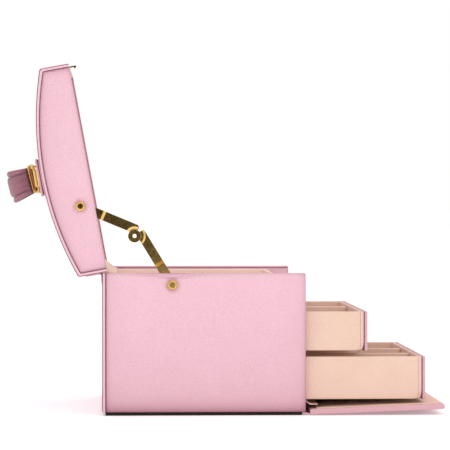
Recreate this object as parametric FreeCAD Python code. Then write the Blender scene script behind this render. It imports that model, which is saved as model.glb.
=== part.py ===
"""Leatherette jewellery chest: arched lid on a soft rear hinge, drop-down front flap, two drawers, top tray.

Millimetres. +Z is up, -Y is the front, +X is to the right of someone facing the front.
The origin is the centre of the underside of the base. The chest is stored with the lid open, the
flap down and both drawers pulled out. The lid and the flap are drawn shut and then swung open.
"""
import FreeCAD
import Part
import math
import os

V = FreeCAD.Vector
X_AXIS = V(1, 0, 0)

# ---- driving dimensions -------------------------------------------------------------------------
WIDTH = 250.0            # outside width, skin edge to skin edge
DEPTH = 180.0            # body depth without the flap
BODY_TOP = 126.0         # top edge of the side panels
BASE_T = 3.0             # black felt base under the body
SKIN_T = 2.6             # leather-covered board of the back and of the lid's arch
SKIN_EDGE = 1.0          # how far the skin stands out past the side panels
SIDE_T = 6.0             # side panels and lid cheeks
BOARD_T = 3.0            # shelves, drawer walls and front boards
SUEDE_T = 0.8            # thin suede linings
GAP = 0.8                # clearance between sliding or neighbouring parts

LID_OPEN = 100.5         # angle of the open lid from shut
LID_RIM = BODY_TOP + 1.0 # height of the shut lid's rim
LID_PIVOT = (88.0, LID_RIM + 2.0)
LID_END_H = 26.0         # height of the lid's front and rear walls
LID_CROWN_H = 41.5       # height of the arch's crown above the rim

FLAP_T = 5.2             # leather-covered flap board
FLAP_LENGTH = 119.8
FLAP_TILT = 2.3          # how far the open flap's tip is propped up by its lock
FLAP_PIVOT = (-92.3, 4.0)
FLAP_FACE = -91.0        # inner face of the shut flap

UPPER_OUT = 55.7         # how far each drawer's front stands out past the body at rest
LOWER_OUT = 107.3
UPPER_Z = (56.5, 91.6)
LOWER_Z = (13.3, 51.6)
DRAWER_LENGTH = 168.0
DRAWER_HALF_W = 116.6

STAY_LID = (29.0, 139.7)     # lid rivet with the lid shut
STAY_BODY = (28.1, 115.5)    # body rivet
STAY_LENGTH = 54.6           # rivet to elbow, both links
STAY_WIDTH = 8.3
STAY_T = 1.2
ELBOW_OFFSET = 6.0           # how far each link's elbow eye stands off its strip's centre line

# ---- worked out from those ----------------------------------------------------------------------
HALF_W = WIDTH / 2
FRONT, REAR = -DEPTH / 2, DEPTH / 2
SIDE_OUT = HALF_W - SKIN_EDGE
SIDE_IN = SIDE_OUT - SIDE_T
BACK_IN = REAR - SKIN_T
FLAP_OUT = FLAP_FACE - FLAP_T
LID_FRONT = FLAP_OUT
FLAP_SWING = 90.0 - FLAP_TILT
FLAP_Z0 = 5.5
FLAP_Z1 = FLAP_Z0 + FLAP_LENGTH

parts = {}


# ---- small tools --------------------------------------------------------------------------------
def box(x0, x1, y0, y1, z0, z1):
    """A block between two corners."""
    return Part.makeBox(x1 - x0, y1 - y0, z1 - z0, V(x0, y0, z0))


def softened(shape, radius, pick):
    """The shape with a fillet on each edge that pick(edge) accepts."""
    edges = [e for e in shape.Edges if pick(e)]
    return shape.makeFillet(radius, edges)


def along(axis):
    """A test for straight edges that run along an axis, 0 to 2 for X to Z."""
    def test(edge):
        a, b = edge.Vertexes[0].Point, edge.Vertexes[-1].Point
        d = b - a
        return d.Length > 0 and abs(d[axis]) > 0.999 * d.Length
    return test


def wire_yz(points, x):
    """A closed wire of straight edges through (y, z) points at one x."""
    corners = [V(x, y, z) for y, z in points]
    return Part.makePolygon(corners + corners[:1])


def prism(points, x0, x1):
    """A (y, z) outline of straight edges, extruded from x0 to x1."""
    return Part.Face(wire_yz(points, x0)).extrude(V(x1 - x0, 0, 0))


def disc(y, z, radius, x0, x1):
    """A cylinder along X."""
    return Part.makeCylinder(radius, x1 - x0, V(x0, y, z), X_AXIS)


def opened_lid(shape):
    """A shape drawn on the shut lid, swung open."""
    shape.rotate(V(0, *LID_PIVOT), X_AXIS, -LID_OPEN)
    return shape


def opened_flap(shape):
    """A shape drawn on the shut flap, swung down."""
    shape.rotate(V(0, *FLAP_PIVOT), X_AXIS, FLAP_SWING)
    return shape


def turned(point, pivot, degrees):
    """A (y, z) point turned about a pivot by the right-hand rule about +X."""
    a = math.radians(degrees)
    y, z = point[0] - pivot[0], point[1] - pivot[1]
    return (pivot[0] + y * math.cos(a) - z * math.sin(a), pivot[1] + y * math.sin(a) + z * math.cos(a))


# ---- body ---------------------------------------------------------------------------------------
BASE_INSET = 3.0
BOTTOM_TOP = 8.0
BAY_FLOOR_TOP = 12.5
DRAWER_SHELF_Z = (52.6, 55.6)
TRAY_SHELF_Z = (92.5, 95.5)
SHELF_FRONT = FRONT + 1.0
LINING_BACK_T = 1.5
FRONT_WALL_T = 3.5
FRONT_WALL_DROP = 9.0        # the front wall stops this far below the sides
SHELF_REAR = BACK_IN - LINING_BACK_T
RIVET_SHANK_R = 1.8
RIVET_HOLE_R = 2.0
EDGE_R = 1.2


def side_panel(sign):
    """A padded side panel; the left one is drilled for the stay's rivet."""
    x0, x1 = sorted((sign * SIDE_OUT, sign * SIDE_IN))
    panel = softened(box(x0, x1, FRONT, BACK_IN, BASE_T, BODY_TOP), EDGE_R, along(2))
    if sign < 0:
        panel = panel.cut(disc(*STAY_BODY, RIVET_HOLE_R, x0 - 1, x1 + 1))
    return panel


def body_shell():
    """Base, bottom, sides, back and the fixed boards between them."""
    inner = SIDE_IN
    pad_x = SIDE_OUT - BASE_INSET
    pad = box(-pad_x, pad_x, FRONT + BASE_INSET, BACK_IN, 0, BASE_T)
    parts["base_pad"] = softened(pad, 2.0, along(2))
    parts["bottom_board"] = box(-inner, inner, FRONT, BACK_IN, BASE_T, BOTTOM_TOP)
    parts["side_panel_left"] = side_panel(-1)
    parts["side_panel_right"] = side_panel(1)
    back = box(-HALF_W, HALF_W, BACK_IN, REAR, BASE_T, BODY_TOP)
    parts["back_panel"] = softened(back, 1.0, along(2))
    parts["lower_bay_floor"] = box(-inner, inner, SHELF_FRONT, SHELF_REAR, BOTTOM_TOP, BAY_FLOOR_TOP)
    parts["drawer_shelf"] = box(-inner, inner, SHELF_FRONT, SHELF_REAR, *DRAWER_SHELF_Z)
    parts["tray_shelf"] = box(-inner, inner, SHELF_FRONT, SHELF_REAR, *TRAY_SHELF_Z)
    parts["bay_back_lining"] = box(-inner, inner, SHELF_REAR, BACK_IN, BOTTOM_TOP, BODY_TOP - 3)
    wall = box(-inner, inner, FRONT, FRONT + FRONT_WALL_T, TRAY_SHELF_Z[1], BODY_TOP - FRONT_WALL_DROP)
    parts["top_front_wall"] = softened(wall, 1.0, along(0))


# ---- top tray -----------------------------------------------------------------------------------
TRAY_X = (-111.0, SIDE_IN - GAP)     # room is left at the left wall for the folded stay
TRAY_Y = (FRONT + 22.0, SHELF_REAR - 5.0)   # a narrow well is left in front of it
TRAY_Z = (TRAY_SHELF_Z[1] + 0.2, 123.0)
TRAY_WALL = 3.0
TRAY_FLOOR = 2.0
TRAY_SPLIT_X = 2.0                   # between the ring rolls and the open compartments
TRAY_SPLIT_Y = -8.0
TRAY_DIVIDER_TOP = TRAY_Z[1] - 2.5
ROLL_COUNT = 6
ROLL_R = 7.0


def hollow(x, y, z, wall, floor):
    """An open-topped box with even walls."""
    inside = box(x[0] + wall, x[1] - wall, y[0] + wall, y[1] - wall, z[0] + floor, z[1] + 1)
    return softened(box(*x, *y, *z), 2.0, along(2)).cut(inside)


def ring_roll(y, x0, x1, z0):
    """One foam roll: flat underneath, round on top."""
    left, right, top = V(x0, y - ROLL_R, z0), V(x0, y + ROLL_R, z0), V(x0, y, z0 + ROLL_R + 4)
    wire = Part.Wire([Part.Arc(right, top, left).toShape(), Part.LineSegment(left, right).toShape()])
    return Part.Face(wire).extrude(V(x1 - x0, 0, 0))


def top_tray():
    """The lift-out suede tray with its dividers and ring rolls."""
    parts["tray_box"] = hollow(TRAY_X, TRAY_Y, TRAY_Z, TRAY_WALL, TRAY_FLOOR)
    floor = TRAY_Z[0] + TRAY_FLOOR
    y0, y1 = TRAY_Y[0] + TRAY_WALL, TRAY_Y[1] - TRAY_WALL
    x0, x1 = TRAY_X[0] + TRAY_WALL, TRAY_X[1] - TRAY_WALL
    half = BOARD_T / 2
    parts["tray_divider_long"] = box(
        TRAY_SPLIT_X - half, TRAY_SPLIT_X + half, y0, y1, floor, TRAY_DIVIDER_TOP)
    parts["tray_divider_cross"] = box(
        TRAY_SPLIT_X + half, x1, TRAY_SPLIT_Y - half, TRAY_SPLIT_Y + half, floor, TRAY_DIVIDER_TOP)
    span = TRAY_SPLIT_X - half - x0
    step = 2 * ROLL_R + 0.6
    first = y1 - 1.0 - ROLL_R
    rolls = [ring_roll(first - n * step, x0 + 1, x0 + span - 1, floor + 0.2) for n in range(ROLL_COUNT)]
    parts["ring_rolls"] = Part.makeCompound(rolls)
    rail_y = first - (ROLL_COUNT - 1) * step - ROLL_R - 1.0
    parts["tray_divider_left"] = box(
        x0, TRAY_SPLIT_X - half, rail_y - BOARD_T, rail_y, floor, TRAY_DIVIDER_TOP)


# ---- drawers ------------------------------------------------------------------------------------
FRONT_BOARD_T = 3.2
FRONT_BOARD_HALF_W = 117.0
PULL_W, PULL_DROP, PULL_OUT = 16.0, 12.0, 3.0
DIVIDER_DROP = 1.5


def drawer(name, out, z, divider_x):
    """A suede box, its leather front board, its dividers and a folded ribbon pull."""
    face = FRONT - out
    y0 = face + FRONT_BOARD_T
    y1 = y0 + DRAWER_LENGTH
    x = (-DRAWER_HALF_W, DRAWER_HALF_W)
    parts[f"{name}_drawer_box"] = hollow(x, (y0, y1), (z[0] + 0.4, z[1]), BOARD_T, BOARD_T)
    board = box(-FRONT_BOARD_HALF_W, FRONT_BOARD_HALF_W, face, y0, z[0], z[1] + 0.3)
    parts[f"{name}_drawer_front"] = softened(board, 1.0, along(0))
    for n, centre in enumerate(divider_x, 1):
        parts[f"{name}_drawer_divider_{n}"] = box(
            centre - BOARD_T / 2, centre + BOARD_T / 2, y0 + BOARD_T, y1 - BOARD_T,
            z[0] + 0.4 + BOARD_T, z[1] - DIVIDER_DROP)
    middle = (z[0] + z[1]) / 2 + 5.0
    pull = prism([(face, middle), (face - PULL_OUT, middle - 1.5), (face - PULL_OUT, middle - PULL_DROP),
                  (face - PULL_OUT + 1.2, middle - PULL_DROP), (face, middle - 3.0)],
                 -PULL_W / 2, PULL_W / 2)
    parts[f"{name}_drawer_pull"] = pull


# ---- lid ----------------------------------------------------------------------------------------
LID_LINING_V = 18.0      # height of the mirror board above the rim
MIRROR_HALF = (92.0, 66.0)
MIRROR_T = 1.5
MIRROR_FRAME_W = 5.0


def arch(y0, y1, inset):
    """The lid's end-on outline between two y, drawn inset below the outer arch."""
    rim, end, crown = LID_RIM, LID_RIM + LID_END_H - inset, LID_RIM + LID_CROWN_H - inset
    a, b = V(0, y1, rim), V(0, y1, end)
    c, d = V(0, y0, end), V(0, y0, rim)
    top = V(0, (y0 + y1) / 2, crown)
    edges = [Part.LineSegment(a, b).toShape(), Part.Arc(b, top, c).toShape(),
             Part.LineSegment(c, d).toShape(), Part.LineSegment(d, a).toShape()]
    return Part.Face(Part.Wire(edges))


def swept(face, x0, x1):
    """A lid outline extruded from x0 to x1."""
    face.translate(V(x0, 0, 0))
    return face.extrude(V(x1 - x0, 0, 0))


def lid():
    """The arched skin, its two cheeks, the mirror board and the mirror."""
    inner_front, inner_rear = LID_FRONT + SKIN_T, REAR - SKIN_T
    outside = swept(arch(LID_FRONT, REAR, 0), -HALF_W, HALF_W)
    outside = softened(outside, 3.0, lambda e: along(0)(e) and e.Vertexes[0].Point.z > LID_RIM + 1)
    core = swept(arch(inner_front, inner_rear, SKIN_T), -HALF_W - 1, HALF_W + 1)
    parts["lid_skin"] = outside.cut(core)
    for side, sign in (("left", -1), ("right", 1)):
        x0, x1 = sorted((sign * SIDE_OUT, sign * SIDE_IN))
        cheek = swept(arch(inner_front, inner_rear, SKIN_T), x0, x1)
        if sign < 0:
            cheek = cheek.cut(disc(*STAY_LID, RIVET_HOLE_R, x0 - 1, x1 + 1))
        parts[f"lid_cheek_{side}"] = cheek
    board_z = LID_RIM + LID_LINING_V
    middle = (inner_front + inner_rear) / 2
    parts["lid_mirror_board"] = box(
        -SIDE_IN, SIDE_IN, inner_front, inner_rear, board_z, board_z + 2.0)
    mx, my = MIRROR_HALF
    parts["mirror"] = box(-mx, mx, middle - my, middle + my, board_z - MIRROR_T, board_z)
    w = MIRROR_FRAME_W
    frame = box(-mx - w, mx + w, middle - my - w, middle + my + w, board_z - 2.2, board_z)
    parts["mirror_frame"] = softened(frame, 3.0, along(2)).cut(
        box(-mx, mx, middle - my, middle + my, board_z - 3, board_z + 1))
    for node in ("lid_skin", "lid_cheek_left", "lid_cheek_right", "lid_mirror_board", "mirror",
                 "mirror_frame"):
        opened_lid(parts[node])


# ---- handle -------------------------------------------------------------------------------------
HANDLE_HALF_SPAN = 55.0      # from the chest's middle to each ring's tab
TAB_HALF = (10.0, 17.3)      # leather tab under each ring, half sizes along X and Y
TAB_T = 4.6
TAB_RISE = 1.0               # the tab's underside follows the arch below the crown
KEEPER_HALF_W = 8.0          # loop that holds each ring to its tab
KEEPER_R = 3.0
KEEPER_HOLE_R = 1.6
RING_WIRE_R = 1.0
RING_HALF_W = 13.5           # ring's half width along Y
RING_LENGTH = 9.5
RING_STANDOFF = 2.1          # lower bar's centre above the tab
RING_LEAN = 62.0             # how far each ring leans in towards the middle
STRAP_T = 4.0
STRAP_HALF_W = 12.2
STRAP_RISE = 33.0            # crown of the strap above the lid's crown
HANDLE_DROOP = 4.0           # the open lid's handle sags this far on its soft keepers
STRAP_SAG = 3.5              # and its soft strap leans this much further


def bent_tube(points, radius, corner):
    """A closed wire loop of round wire through points in order, with rounded corners."""
    count = len(points)
    starts, ends = [], []
    for n, p in enumerate(points):
        before, after = points[n - 1], points[(n + 1) % count]
        starts.append(p + (before - p).normalize() * corner)
        ends.append(p + (after - p).normalize() * corner)
    edges = []
    for n, p in enumerate(points):
        a, b = starts[n], ends[n]
        chord = (a + b) * 0.5
        bulge = chord + (p - chord) * (math.sqrt(2) - 1)
        edges.append(Part.Arc(a, bulge, b).toShape())
        edges.append(Part.LineSegment(b, starts[(n + 1) % count]).toShape())
    # the loop starts in the middle of a straight side, so its section meets that side square
    begin = (ends[0] + starts[1]) * 0.5
    first = Part.LineSegment(begin, starts[1]).toShape()
    last = Part.LineSegment(ends[0], begin).toShape()
    path = Part.Wire([first] + edges[2:] + [edges[0], last])
    loop = Part.Wire(Part.makeCircle(radius, begin, starts[1] - ends[0]))
    return path.makePipeShell([loop], True, False)


def handle_ring(sign, bar_z, wire_r=RING_WIRE_R):
    """One rounded rectangle of gold wire that stands on its keeper and leans inwards."""
    x = sign * HANDLE_HALF_SPAN
    lean = math.radians(RING_LEAN)
    up = V(-sign * math.sin(lean), 0, math.cos(lean)) * RING_LENGTH
    low = V(x, 0, bar_z)
    across = V(0, RING_HALF_W - RING_WIRE_R, 0)
    return bent_tube([low + across, low + across + up, low - across + up, low - across], wire_r, 3.5)


def strap(bar_x, bar_z, rise):
    """The soft strap: a thick arch whose folded ends close round the rings' upper bars."""
    end = STRAP_T / 2
    outer = Part.Arc(V(-bar_x - end, 0, bar_z), V(0, 0, bar_z + rise), V(bar_x + end, 0, bar_z))
    inner = Part.Arc(V(-bar_x + end, 0, bar_z), V(0, 0, bar_z + rise - STRAP_T), V(bar_x - end, 0, bar_z))
    edges = [outer.toShape(), inner.toShape()]
    for sign in (-1, 1):
        x = sign * bar_x
        edges.append(Part.Arc(V(x - end, 0, bar_z), V(x, 0, bar_z - end), V(x + end, 0, bar_z)).toShape())
    face = Part.Face(Part.Wire(Part.__sortEdges__(edges)))
    face.translate(V(0, -STRAP_HALF_W, 0))
    arch = face.extrude(V(0, 2 * STRAP_HALF_W, 0))
    sag = FreeCAD.Matrix()
    sag.A23 = math.tan(math.radians(STRAP_SAG))
    sag.A24 = -bar_z * sag.A23
    return arch.transformGeometry(sag)


def tab(sign, z0):
    """A stitched leather tab on the skin with a loop that keeps the ring's lower bar."""
    x = sign * HANDLE_HALF_SPAN
    tx, ty = TAB_HALF
    patch = softened(box(x - tx, x + tx, -ty, ty, z0 - TAB_RISE, z0 + TAB_T), 2.5, along(2))
    top = z0 + TAB_T
    bar_z = top + RING_STANDOFF
    reach = 2 * KEEPER_HALF_W
    loop = Part.makeCylinder(KEEPER_R, reach, V(x, -KEEPER_HALF_W, bar_z), V(0, 1, 0))
    post = box(x - KEEPER_R, x + KEEPER_R, -KEEPER_HALF_W, KEEPER_HALF_W, top - 0.5, bar_z)
    hole = Part.makeCylinder(KEEPER_HOLE_R, reach + 2, V(x, -KEEPER_HALF_W - 1, bar_z), V(0, 1, 0))
    return patch.fuse([loop, post]).removeSplitter().cut(hole)


def handle():
    """Two leather tabs, two gold rings and the strap, across the lid's crown."""
    middle = (LID_FRONT + REAR) / 2
    crown = LID_RIM + LID_CROWN_H
    seat = crown + 0.02
    bar_z = seat + TAB_T + RING_STANDOFF
    hinge = V(0, middle, bar_z)
    lean = math.radians(RING_LEAN)
    top_x = HANDLE_HALF_SPAN - RING_LENGTH * math.sin(lean)
    top_z = bar_z + RING_LENGTH * math.cos(lean)
    skin = parts["lid_skin"].copy()
    skin.rotate(V(0, *LID_PIVOT), X_AXIS, LID_OPEN)
    for side, sign in (("left", -1), ("right", 1)):
        patch = tab(sign, seat)
        patch.translate(V(0, middle, 0))
        parts[f"handle_tab_{side}"] = opened_lid(patch.cut(skin))
        ring = handle_ring(sign, bar_z)
        ring.translate(V(0, middle, 0))
        ring.rotate(hinge, X_AXIS, -HANDLE_DROOP)
        parts[f"handle_ring_{side}"] = opened_lid(ring)
    band = strap(top_x, top_z, crown + STRAP_RISE - top_z)
    for sign in (-1, 1):
        band = band.cut(handle_ring(sign, bar_z, RING_WIRE_R + 0.15))
    band.translate(V(0, middle, 0))
    band.rotate(hinge, X_AXIS, -HANDLE_DROOP)
    parts["handle_strap"] = opened_lid(band)
    print("handle hinge", turned((middle, bar_z), LID_PIVOT, -LID_OPEN))


# ---- folding stay, left side --------------------------------------------------------------------
WASHER_T = 0.5
WALL_X = -SIDE_IN                       # inner face of the left wall
PAD_X = WALL_X + WASHER_T + 0.1         # outer face of the links' rivet ends
UPPER_STRIP_X = PAD_X + 1.3             # outer faces of the joggled strips and of their eyes: the
UPPER_EYE_X = UPPER_STRIP_X + 0.65      # two links keep to planes of their own all along
LOWER_EYE_X = UPPER_EYE_X + STAY_T + 0.1
LOWER_STRIP_X = LOWER_EYE_X + 0.65
EYE_R = 5.8
EYE_HOLE_R = 1.7
PAD_LENGTH = 20.6
JOGGLE = 2.4
RIVET_RUN_R = RIVET_SHANK_R + 0.08
HEAD_R = 4.3


def elbow_at(lid_point):
    """Where both links reach: of the two points their circles share, the one nearer the front."""
    (ay, az), (by, bz) = lid_point, STAY_BODY
    dy, dz = by - ay, bz - az
    span = math.hypot(dy, dz)
    off = math.sqrt(STAY_LENGTH ** 2 - (span / 2) ** 2)
    my, mz = (ay + by) / 2, (az + bz) / 2
    return min((my + s * off * dz / span, mz - s * off * dy / span) for s in (-1, 1))


def link(strip_x, eye_x, side):
    """A link lying along +Y from its rivet at the origin to its elbow eye; side is +1 or -1 in Z."""
    reach = math.sqrt(STAY_LENGTH ** 2 - ELBOW_OFFSET ** 2)
    strip_end = reach + 0.8
    profile = [(-STAY_WIDTH / 2, PAD_X), (PAD_LENGTH, PAD_X), (PAD_LENGTH + JOGGLE, strip_x),
               (strip_end, strip_x), (strip_end, strip_x + STAY_T),
               (PAD_LENGTH + JOGGLE, strip_x + STAY_T), (PAD_LENGTH, PAD_X + STAY_T),
               (-STAY_WIDTH / 2, PAD_X + STAY_T)]
    corners = [V(x, y, -STAY_WIDTH / 2) for y, x in profile]
    strip = Part.Face(Part.makePolygon(corners + corners[:1])).extrude(V(0, 0, STAY_WIDTH))
    strip = softened(strip, 3.5, lambda e: along(0)(e) and e.Vertexes[0].Point.y < 0)
    strip = softened(strip, 2.5, lambda e: along(0)(e) and e.Vertexes[0].Point.y > strip_end - 0.01)
    eye_z = side * ELBOW_OFFSET
    near, far = min(eye_x, strip_x), max(eye_x, strip_x) + STAY_T
    strip = strip.cut(disc(reach, eye_z, EYE_R + 2.4, near - 1, far + 1))
    neck = disc(reach, eye_z, EYE_R + 2.6, near, far).common(
        box(near, far, reach - 12, strip_end, -STAY_WIDTH / 2, STAY_WIDTH / 2))
    eye = disc(reach, eye_z, EYE_R, eye_x, eye_x + STAY_T)
    body = strip.fuse([neck, eye]).removeSplitter()
    trim = disc(reach, eye_z, EYE_R + 2.4, near - 1, far + 1).cut(
        disc(reach, eye_z, EYE_R + 2.4, eye_x, eye_x + STAY_T))
    body = body.cut(trim)
    body = body.cut(disc(reach, eye_z, EYE_HOLE_R, near - 1, far + 1))
    return body.cut(disc(0, 0, RIVET_RUN_R, PAD_X - 1, PAD_X + STAY_T + 1)), reach, eye_z


def placed_link(strip_x, eye_x, side, start, end):
    """A link carried so that its rivet is at start and its eye's centre at end."""
    shape, reach, eye_z = link(strip_x, eye_x, side)
    turn = math.atan2(end[1] - start[1], end[0] - start[0]) - math.atan2(eye_z, reach)
    shape.rotate(V(0, 0, 0), X_AXIS, math.degrees(turn))
    shape.translate(V(0, *start))
    return shape


def rivet(y, z):
    """A domed head outside the wall, a shank through it and a flat head inside the link."""
    outer = -SIDE_OUT
    inner = PAD_X + STAY_T + 0.1
    dome_rise = 1.8
    sphere_r = (HEAD_R ** 2 + dome_rise ** 2) / (2 * dome_rise)
    ball = Part.makeSphere(sphere_r, V(outer + sphere_r - dome_rise, y, z))
    dome = ball.common(disc(y, z, HEAD_R + 1, outer - dome_rise - 1, outer))
    shank = disc(y, z, RIVET_SHANK_R, outer - 0.5, inner + 0.5)
    tail = disc(y, z, 3.2, inner, inner + 0.8)
    return dome.fuse([shank, tail]).removeSplitter()


def stay():
    """Two links, their rivets and washers, and the elbow's rivet in its two halves."""
    lid_point = turned(STAY_LID, LID_PIVOT, -LID_OPEN)
    elbow = elbow_at(lid_point)
    shut = elbow_at(STAY_LID)
    parts["stay_link_upper"] = placed_link(UPPER_STRIP_X, UPPER_EYE_X, 1, lid_point, elbow)
    parts["stay_link_lower"] = placed_link(LOWER_STRIP_X, LOWER_EYE_X, -1, STAY_BODY, elbow)
    parts["stay_rivet_lid"] = rivet(*lid_point)
    parts["stay_rivet_body"] = rivet(*STAY_BODY)
    for name, (y, z) in (("lid", lid_point), ("body", STAY_BODY)):
        parts[f"stay_washer_{name}"] = disc(y, z, 4.0, WALL_X, WALL_X + WASHER_T).cut(
            disc(y, z, RIVET_HOLE_R, WALL_X - 1, WALL_X + 1))
    back = LOWER_EYE_X + STAY_T
    hole = disc(*elbow, EYE_HOLE_R, WALL_X, back + 2)
    parts["stay_elbow_rivet"] = disc(*elbow, EYE_R, UPPER_EYE_X - 0.8, UPPER_EYE_X).cut(hole)
    parts["stay_elbow_cap"] = disc(*elbow, 3.8, back, back + 0.8).cut(hole)
    report_stay(lid_point, elbow, shut)


def report_stay(lid_point, elbow, shut):
    """Prints the figures that the record's couplings use."""
    def bearing(a, b):
        return math.degrees(math.atan2(b[1] - a[1], b[0] - a[0]))
    lower = (bearing(STAY_BODY, shut) - bearing(STAY_BODY, elbow)) % 360
    upper = bearing(STAY_LID, shut) - bearing(lid_point, elbow) - LID_OPEN
    print("stay: lid rivet", lid_point, "elbow", elbow, "shut elbow", shut)
    print("stay: lower link turns", lower, "upper link turns on the lid", upper % 360 - 360)
    print("stay: ratios", lower / LID_OPEN, (upper % 360 - 360) / LID_OPEN)


# ---- lid catch ----------------------------------------------------------------------------------
def lid_catch():
    """The gold plate on the lid's front wall, its hooked tongue and its two screws."""
    face = LID_FRONT
    plate = softened(box(-11, 11, face - 1.2, face, LID_RIM + 2, LID_RIM + 15), 2.0, along(1))
    arm = prism([(face - 1.2, LID_RIM + 5), (face - 3.4, LID_RIM + 1), (face - 3.4, LID_RIM - 5.6),
                 (face - 2.2, LID_RIM - 5.6), (face - 2.2, LID_RIM + 1.5), (face - 1.0, LID_RIM + 3.6)],
                -4.5, 4.5)
    nub = disc(face - 1.9, LID_RIM - 4.2, 0.9, -4.5, 4.5)
    parts["lid_catch"] = opened_lid(plate.fuse([arm, nub]).removeSplitter())
    screws = []
    for x in (-7.5, 7.5):
        at = V(x, face - 1.2, LID_RIM + 11)
        screws.append(Part.makeCylinder(1.5, 0.7, at, V(0, -1, 0)))
    parts["catch_screws"] = opened_lid(Part.makeCompound(screws))


# ---- flap ---------------------------------------------------------------------------------------
LOCK_X = 13.0
LOCK_Z = (106.0, 122.5)
LOCK_CYLINDER_Z = 111.5
LOCK_CYLINDER_R = 3.2
FLAP_LINING_INSET = 2.6      # at the sides and the tip
FLAP_LINING_START = 6.0      # at the hinge


def lock_thickness():
    """The lock stands out just far enough to carry the tilted flap's tip on its lower edge."""
    best, step = 3.0, 0.001
    while turned((FLAP_OUT - best, LOCK_Z[0]), FLAP_PIVOT, FLAP_SWING)[1] > 0.02:
        best += step
    return best


def flap():
    """The board, its suede pad, and the lock with its key cylinder and screws."""
    board = box(-HALF_W, HALF_W, FLAP_OUT, FLAP_FACE, FLAP_Z0, FLAP_Z1)
    parts["flap_board"] = opened_flap(softened(board, 1.5, along(0)))
    inset = FLAP_LINING_INSET
    pad = box(-HALF_W + inset, HALF_W - inset, FLAP_FACE, FLAP_FACE + SUEDE_T,
              FLAP_Z0 + FLAP_LINING_START, FLAP_Z1 - inset)
    parts["flap_lining"] = opened_flap(pad)
    thick = lock_thickness()
    face = FLAP_OUT - thick
    case = softened(box(-LOCK_X, LOCK_X, face, FLAP_OUT, *LOCK_Z), 2.5, along(1))
    slot = box(-5.5, 5.5, FLAP_OUT - 3.9, FLAP_OUT - 0.4, LOCK_Z[1] - 6.5, LOCK_Z[1] + 1)
    seat = Part.makeCylinder(LOCK_CYLINDER_R + 0.08, 3.0, V(0, face - 0.5, LOCK_CYLINDER_Z), V(0, 1, 0))
    parts["lock_case"] = opened_flap(case.cut(slot).cut(seat))
    rotor = Part.makeCylinder(LOCK_CYLINDER_R, 2.2, V(0, face + 0.2, LOCK_CYLINDER_Z), V(0, 1, 0))
    keyway = box(-0.5, 0.5, face, face + 1.6, LOCK_CYLINDER_Z - 2.1, LOCK_CYLINDER_Z + 1.0)
    key_hole = Part.makeCylinder(1.0, 1.6, V(0, face, LOCK_CYLINDER_Z + 1.0), V(0, 1, 0))
    parts["lock_cylinder"] = opened_flap(rotor.cut(keyway.fuse(key_hole)))
    screws = []
    for x in (-9.5, 9.5):
        at = V(x, face, (LOCK_Z[0] + LOCK_Z[1]) / 2 + 2)
        screws.append(Part.makeCylinder(1.4, 0.35, at, V(0, -1, 0)))
    parts["lock_screws"] = opened_flap(Part.makeCompound(screws))
    print("lock stands out", thick, "flap tip", turned((FLAP_OUT, FLAP_Z1), FLAP_PIVOT, FLAP_SWING))


# ---- soft hinges --------------------------------------------------------------------------------
def band(points, thickness, half_w):
    """A soft strip: a polyline of (y, z) given thickness to its left, across the chest."""
    offset = []
    for n, (y, z) in enumerate(points):
        a, b = points[max(n - 1, 0)], points[min(n + 1, len(points) - 1)]
        dy, dz = b[0] - a[0], b[1] - a[1]
        size = math.hypot(dy, dz)
        offset.append((y - dz / size * thickness, z + dy / size * thickness))
    return prism(points + offset[::-1], -half_w, half_w)


def soft_hinges():
    """Outer leather strips and inner suede strips that bridge the lid and flap joints at rest."""
    inner = SIDE_IN - 1.0
    parts["lid_hinge_leather"] = band(
        [(REAR + 0.1, BODY_TOP - 9), (REAR + 0.1, BODY_TOP - 1.5), (REAR + 1.2, BODY_TOP - 0.6)],
        -0.8, HALF_W - 1)
    parts["lid_hinge_suede"] = band(
        [(80.2, 124.0), (82.2, 127.2), (84.0, 130.6), (85.4, 134.6), (86.2, 139.0)], 0.8, inner)
    parts["flap_hinge_leather"] = band(
        [(-93.6, 0.9), (-92.0, 1.3), (-90.0, 1.9), (-87.4, 1.9)], 0.9, HALF_W - 3)
    parts["flap_hinge_suede"] = band(
        [(-101.0, 6.9), (-97.0, 7.0), (-93.6, 8.2), (-91.0, 10.4), (-89.6, 13.0)], 0.7, inner)


def main():
    body_shell()
    top_tray()
    drawer("upper", UPPER_OUT, UPPER_Z, [30.0])
    drawer("lower", LOWER_OUT, LOWER_Z, [-38.0, 38.0])
    lid()
    handle()
    stay()
    lid_catch()
    flap()
    soft_hinges()
    os.makedirs("parts", exist_ok=True)
    for name, shape in sorted(parts.items()):
        if not shape.isValid() or not shape.Solids:
            print("PROBLEM", name, shape.isValid(), len(shape.Solids))
        shape.exportStep(os.path.join("parts", name + ".step"))
    print(len(parts), "nodes")


main()
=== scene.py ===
import bpy
import bmesh
import math
from mathutils import Matrix, Vector, noise


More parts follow.
